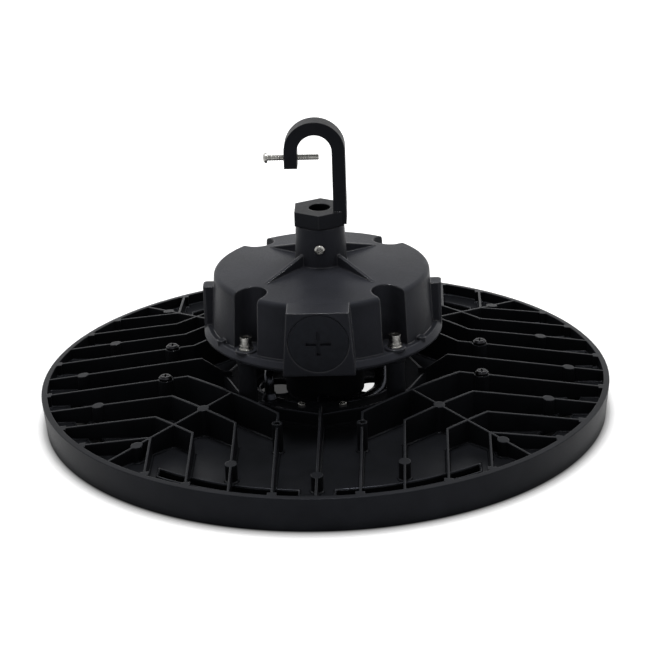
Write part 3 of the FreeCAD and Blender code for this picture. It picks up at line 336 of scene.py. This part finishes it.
stainless = screw_metal("cold-formed A2 stainless steel", "#8F8E8A", "#C4C3BF", 0.20)
dress(stainless, "hook_safety_screw", "hook_set_screw", "housing_screws", "lead_clamp_screws")
black_oxide = screw_metal("black-oxide steel", "#1C1C1E", "#323235", 0.26)
dress(black_oxide, "boss_screws")

# The safety screw's thread, cut at twice the real M3 pitch so that it can be seen.
SHANK = 1.5 * MM
CREST = 1.78 * MM
PITCH = 1.0 * MM
SAFETY_HEAD = 2.2 * MM
RUN_OUT = 0.4 * MM
STEPS_ROUND = 20
STEPS_PER_PITCH = 6
screw_low, screw_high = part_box("hook_safety_screw")
middle = (screw_low + screw_high) / 2
last_step = int((screw_high.x - screw_low.x - SAFETY_HEAD) / PITCH * STEPS_PER_PITCH)
thread = bmesh.new()
loops = []
for step in range(last_step + 1):
    along = screw_low.x + SAFETY_HEAD + step * PITCH / STEPS_PER_PITCH
    loop = []
    for side in range(STEPS_ROUND):
        turn = 2 * math.pi * side / STEPS_ROUND
        share = (step / STEPS_PER_PITCH - side / STEPS_ROUND) % 1.0
        radius = CREST - (CREST - SHANK) * abs(2 * share - 1)
        if step == last_step:
            radius -= RUN_OUT
        loop.append(thread.verts.new((along, middle.y + radius * math.cos(turn),
                                      middle.z + radius * math.sin(turn))))
    loops.append(loop)
for first, last in zip(loops, loops[1:]):
    skin_between(thread, first, last)
thread.faces.new(loops[0])
thread.faces.new(loops[-1])
bmesh.ops.recalc_face_normals(thread, faces=thread.faces)
finish_piece("safety_screw_thread", thread, stainless)


# ---------------------------------------------------------------- light engine
# Under the plate: an aluminium-backed LED board with white solder mask, yellow phosphor over
# each LED, a potted driver in a plain can above, and a clear polycarbonate cover ring.
mask = moulded("white solder mask on aluminium board", "#E6E6E2", "#F0F0EC", 0.35, lump_mm=5.0,
               relief_mm=0.01)
dress(mask, "led_board")
phosphor = moulded("yellow silicone phosphor", "#E6C14A", "#F2D362", 0.4, lump_mm=0.8,
                   relief_mm=0.02)
dress(phosphor, "led_chips")
can = screw_metal("drawn aluminium can", "#9C9D9E", "#B7B8B9", 0.38)
dress(can, "driver")

# Moulded polycarbonate is clear, with slow ripples of flow that bend what shows through it.
RIPPLE_MM = 18.0
clear, tree, shader, place = new_material("clear moulded polycarbonate", Metallic=0.0, IOR=1.58,
                                          Transmission_Weight=1.0)
ripple = add_node(tree, "TexNoise", lumps(place, RIPPLE_MM)).outputs["Fac"]
haze = span(ripple, start=0.3, stop=0.7, low=0.03, high=0.09)
tree.links.new(add_node(tree, "MapRange", haze).outputs["Result"], shader.inputs["Roughness"])
tree.links.new(drift(tree, ripple, linear("#F4F6F7"), linear("#FFFFFF")),
               shader.inputs["Base Color"])
bump = add_node(tree, "Bump", {"Height": ripple, "Distance": 0.05 * MM})
tree.links.new(bump.outputs["Normal"], shader.inputs["Normal"])
dress(clear, "lens")


def loose_centres(node):
    """The middle of each separate solid of a node."""
    base = bmesh.new()
    base.from_mesh(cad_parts[node].data)
    bmesh.ops.remove_doubles(base, verts=base.verts, dist=WELD)
    reached, centres = set(), []
    for first in base.verts:
        if first in reached:
            continue
        reached.add(first)
        solid = [first]
        for corner in solid:
            for edge in corner.link_edges:
                near = edge.other_vert(corner)
                if near not in reached:
                    reached.add(near)
                    solid.append(near)
        centres.append(sum((corner.co for corner in solid), Vector()) / len(solid))
    base.free()
    return centres


# Each LED has a small domed optic on the outside of the cover.
DOME = 6.0 * MM
DOME_RISE = 2.4 * MM
DOME_SEAT = 0.1 * MM
lens_low, lens_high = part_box("lens")
optics = bmesh.new()
for centre in loose_centres("led_chips"):
    ball = bmesh.ops.create_uvsphere(optics, u_segments=24, v_segments=12, radius=1.0)["verts"]
    bmesh.ops.delete(optics, geom=[corner for corner in ball if corner.co.z > 0.01],
                     context="VERTS")
    for corner in ball:
        if corner.is_valid:
            x, y, z = corner.co
            corner.co = (centre.x + x * DOME, centre.y + y * DOME,
                         lens_low.z + DOME_SEAT + z * DOME_RISE)
for face in optics.faces:
    face.smooth = True
finish_piece("lens_optics", optics, clear)

# Small stainless screws through the cover's flange and its collar, like those of the wiring lid.
SCREW_HEAD = 1.5 * MM
COVER_SEAT = 8.2 * MM
SCREW_RINGS = ((140.0 * MM, 8), (46.0 * MM, 4))    # radius and number of screws
screw_low, screw_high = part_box("lead_clamp_screws")
model = bmesh.new()
model.from_mesh(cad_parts["lead_clamp_screws"].data)
bmesh.ops.delete(model, geom=[corner for corner in model.verts if corner.co.x < 0],
                 context="VERTS")
spread = [corner.co.x for corner in model.verts]
home = Vector(((min(spread) + max(spread)) / 2, (screw_low.y + screw_high.y) / 2,
               screw_high.z - SCREW_HEAD))
single = bpy.data.meshes.new("cover_screw")
model.to_mesh(single)
model.free()
head_down = Matrix.Rotation(math.pi, 4, "X") @ Matrix.Translation(-home)
screws = bmesh.new()
for ring, count in SCREW_RINGS:
    for number in range(count):
        turn = 2 * math.pi * (number + 0.5) / count
        before = len(screws.verts)
        screws.from_mesh(single)
        screws.verts.ensure_lookup_table()
        seat = Vector((ring * math.cos(turn), ring * math.sin(turn), COVER_SEAT))
        bmesh.ops.transform(screws, matrix=Matrix.Translation(seat) @ head_down,
                            verts=screws.verts[before:])
bpy.data.meshes.remove(single)
finish_piece("cover_screws", screws, stainless)


# ---------------------------------------------------------------- studio
# Pale sweep that runs on to the horizon, a bright even surround and a broad soft light
# overhead, with a weaker one to each side, a little behind.
scene = bpy.context.scene
scene.view_settings.view_transform = "Standard"


def directly_seen(tree):
    """1 where the camera looks, straight or through glass, and 0 elsewhere; and the ray kinds."""
    rays = add_node(tree, "LightPath").outputs
    either = {0: rays["Is Camera Ray"], 1: rays["Is Transmission Ray"]}
    return add_node(tree, "Math", either, operation="MAXIMUM").outputs[0], rays


FLOOR_SIZE = 60.0
FLOOR_GAP = 0.2 * MM
bpy.ops.mesh.primitive_plane_add(size=FLOOR_SIZE, location=(0, 0, cad_low.z - FLOOR_GAP))
sweep = bpy.context.object
sweep.name = "floor"
paper, tree, shader, place = new_material("matt white paper", Roughness=0.9)
# Millimetres from the light's axis, the paper's own glow there, and its share of white. Below the
# right air hole the glow is a painted light; under the plate the paper is painted black, a painted
# shade; beside the rim there is less glow than far off, where the lamps don't reach, so that the
# shadow stays.
SHEET = ((0.0, 0.8, 1.0), (58.0, 0.8, 1.0), (62.0, 0.0, 0.0), (167.0, 0.0, 0.0), (170.0, 0.45, 1.0),
         (600.0, 0.8, 1.0))
SHEET_REACH_MM = SHEET[-1][0]
off_axis = add_node(tree, "VectorMath", {0: place}, operation="LENGTH").outputs["Value"]
outward = span(off_axis, start=0.0, stop=SHEET_REACH_MM * MM)
reach = add_node(tree, "MapRange", outward).outputs["Result"]
ramps = []
for column in (1, 2):
    ramp = add_node(tree, "ValToRGB", {"Fac": reach})
    for row in SHEET[1:-1]:
        ramp.color_ramp.elements.new(row[0] / SHEET_REACH_MM)
    for stop, row in zip(ramp.color_ramp.elements, SHEET):
        stop.color = (row[column], row[column], row[column], 1.0)
    ramps.append(ramp.outputs["Color"])
glow_and_painted_light, white = ramps
tone = add_node(tree, "TexNoise", lumps(place, 400.0)).outputs["Fac"]
paper_white = drift(tree, tone, linear("#E9E9E9"), linear("#EEEEEE"))
# Under the plate the paper's colour is painted near-black: a painted shade.
tree.links.new(drift(tree, white, linear("#0A0A0A"), paper_white), shader.inputs["Base Color"])
# Near the axis the sheet shows only through the air holes. Below the right one its glow is a
# painted light; below the left one it is cut down to a painted shade.
HOLES_REACH, LEFT_SHARE, SHADE_WIDTH = 100.0 * MM, 0.07, 10.0 * MM
side = add_node(tree, "SeparateXYZ", {"Vector": place}).outputs["X"]
rightward = span(side, start=0.0, stop=SHADE_WIDTH, low=LEFT_SHARE, high=1.0)
right = add_node(tree, "MapRange", rightward).outputs["Result"]
outside = add_node(tree, "Math", {0: off_axis, 1: HOLES_REACH}, operation="GREATER_THAN")
painted_hole_light = add_node(tree, "Math", {0: outside.outputs[0], 1: right}, operation="MAXIMUM")
# Reflections see less of this glow than the camera does, or the foot of the rim would shine.
GLOSSY_SHARE = 0.3
seen, rays = directly_seen(tree)
seen = add_node(tree, "Math", {0: rays["Is Glossy Ray"], 1: GLOSSY_SHARE, 2: seen},
                operation="MULTIPLY_ADD")
shown = add_node(tree, "Math", {0: seen.outputs[0], 1: glow_and_painted_light}, operation="MULTIPLY")
shown = add_node(tree, "Math", {0: shown.outputs[0], 1: painted_hole_light.outputs[0]}, operation="MULTIPLY")
shader.inputs["Emission Color"].default_value = linear("#FFFFFF")
tree.links.new(shown.outputs[0], shader.inputs["Emission Strength"])
# Seen from below, the sheet lets the light's underside show.
below = add_node(tree, "NewGeometry").outputs["Backfacing"]
upper = add_node(tree, "Math", {0: 1.0, 1: below}, operation="SUBTRACT")
tree.links.new(upper.outputs[0], shader.inputs["Alpha"])
sweep.data.materials.append(paper)

world = bpy.data.worlds.new("studio")
scene.world = world
world.use_nodes = True
tree = world.node_tree
# White to the camera everywhere. Reflections see white behind the light and a dimmer room in
# front, and the object is lit at the level of the surround.
SURROUND, ROOM, BACKDROP = 0.3, 0.65, 1.0
seen, rays = directly_seen(tree)
toward = add_node(tree, "SeparateXYZ", {"Vector": add_node(tree, "TexCoord").outputs["Generated"]})
backward = span(toward.outputs["Y"], start=-0.3, stop=0.6, low=ROOM, high=BACKDROP)
gleam = add_node(tree, "MapRange", backward).outputs["Result"]
gleam = add_node(tree, "Math", {0: gleam, 1: rays["Is Glossy Ray"]}, operation="MULTIPLY")
for brightness in (gleam.outputs[0], SURROUND):
    seen = add_node(tree, "Math", {0: seen, 1: brightness}, operation="MAXIMUM").outputs[0]
tree.links.new(seen, tree.nodes["Background"].inputs["Strength"])
tree.nodes["Background"].inputs["Color"].default_value = linear("#FFFFFF")

# Name, place in metres, width in metres and watts of each lamp.
LAMPS = (("overhead", (0.0, 0.1, 1.5), 0.4, 13.0),
         ("left", (-1.3, 0.5, 1.2), 0.4, 1.5),
         ("right", (1.3, 0.5, 1.2), 0.4, 1.5))
for name, place, width, watts in LAMPS:
    light = bpy.data.lights.new(name, "AREA")
    light.shape = "DISK"
    light.size = width
    light.energy = watts
    lamp = bpy.data.objects.new(name, light)
    lamp.location = place
    lamp.rotation_mode = "QUATERNION"
    lamp.rotation_quaternion = (-Vector(place)).to_track_quat("-Z", "Y")
    scene.collection.objects.link(lamp)

# The camera stands a metre and a half off, a little to the right and above, tilted slightly.
AIM = Vector((0.98, 0.06, 53.7)) * MM
TURN, RISE, LEAN = math.radians(2.44), math.radians(21.79), math.radians(-1.917)
DISTANCE = 1493.7 * MM
LENS_MM = 138.7
back = Vector((math.sin(TURN) * math.cos(RISE), -math.cos(TURN) * math.cos(RISE), math.sin(RISE)))
eye = bpy.data.cameras.new("camera")
eye.lens = LENS_MM
camera = bpy.data.objects.new("camera", eye)
camera.location = AIM + back * DISTANCE
camera.rotation_mode = "QUATERNION"
camera.rotation_quaternion = (-back).to_track_quat("-Z", "Y") @ Quaternion((0, 0, 1), LEAN)
scene.collection.objects.link(camera)
scene.camera = camera
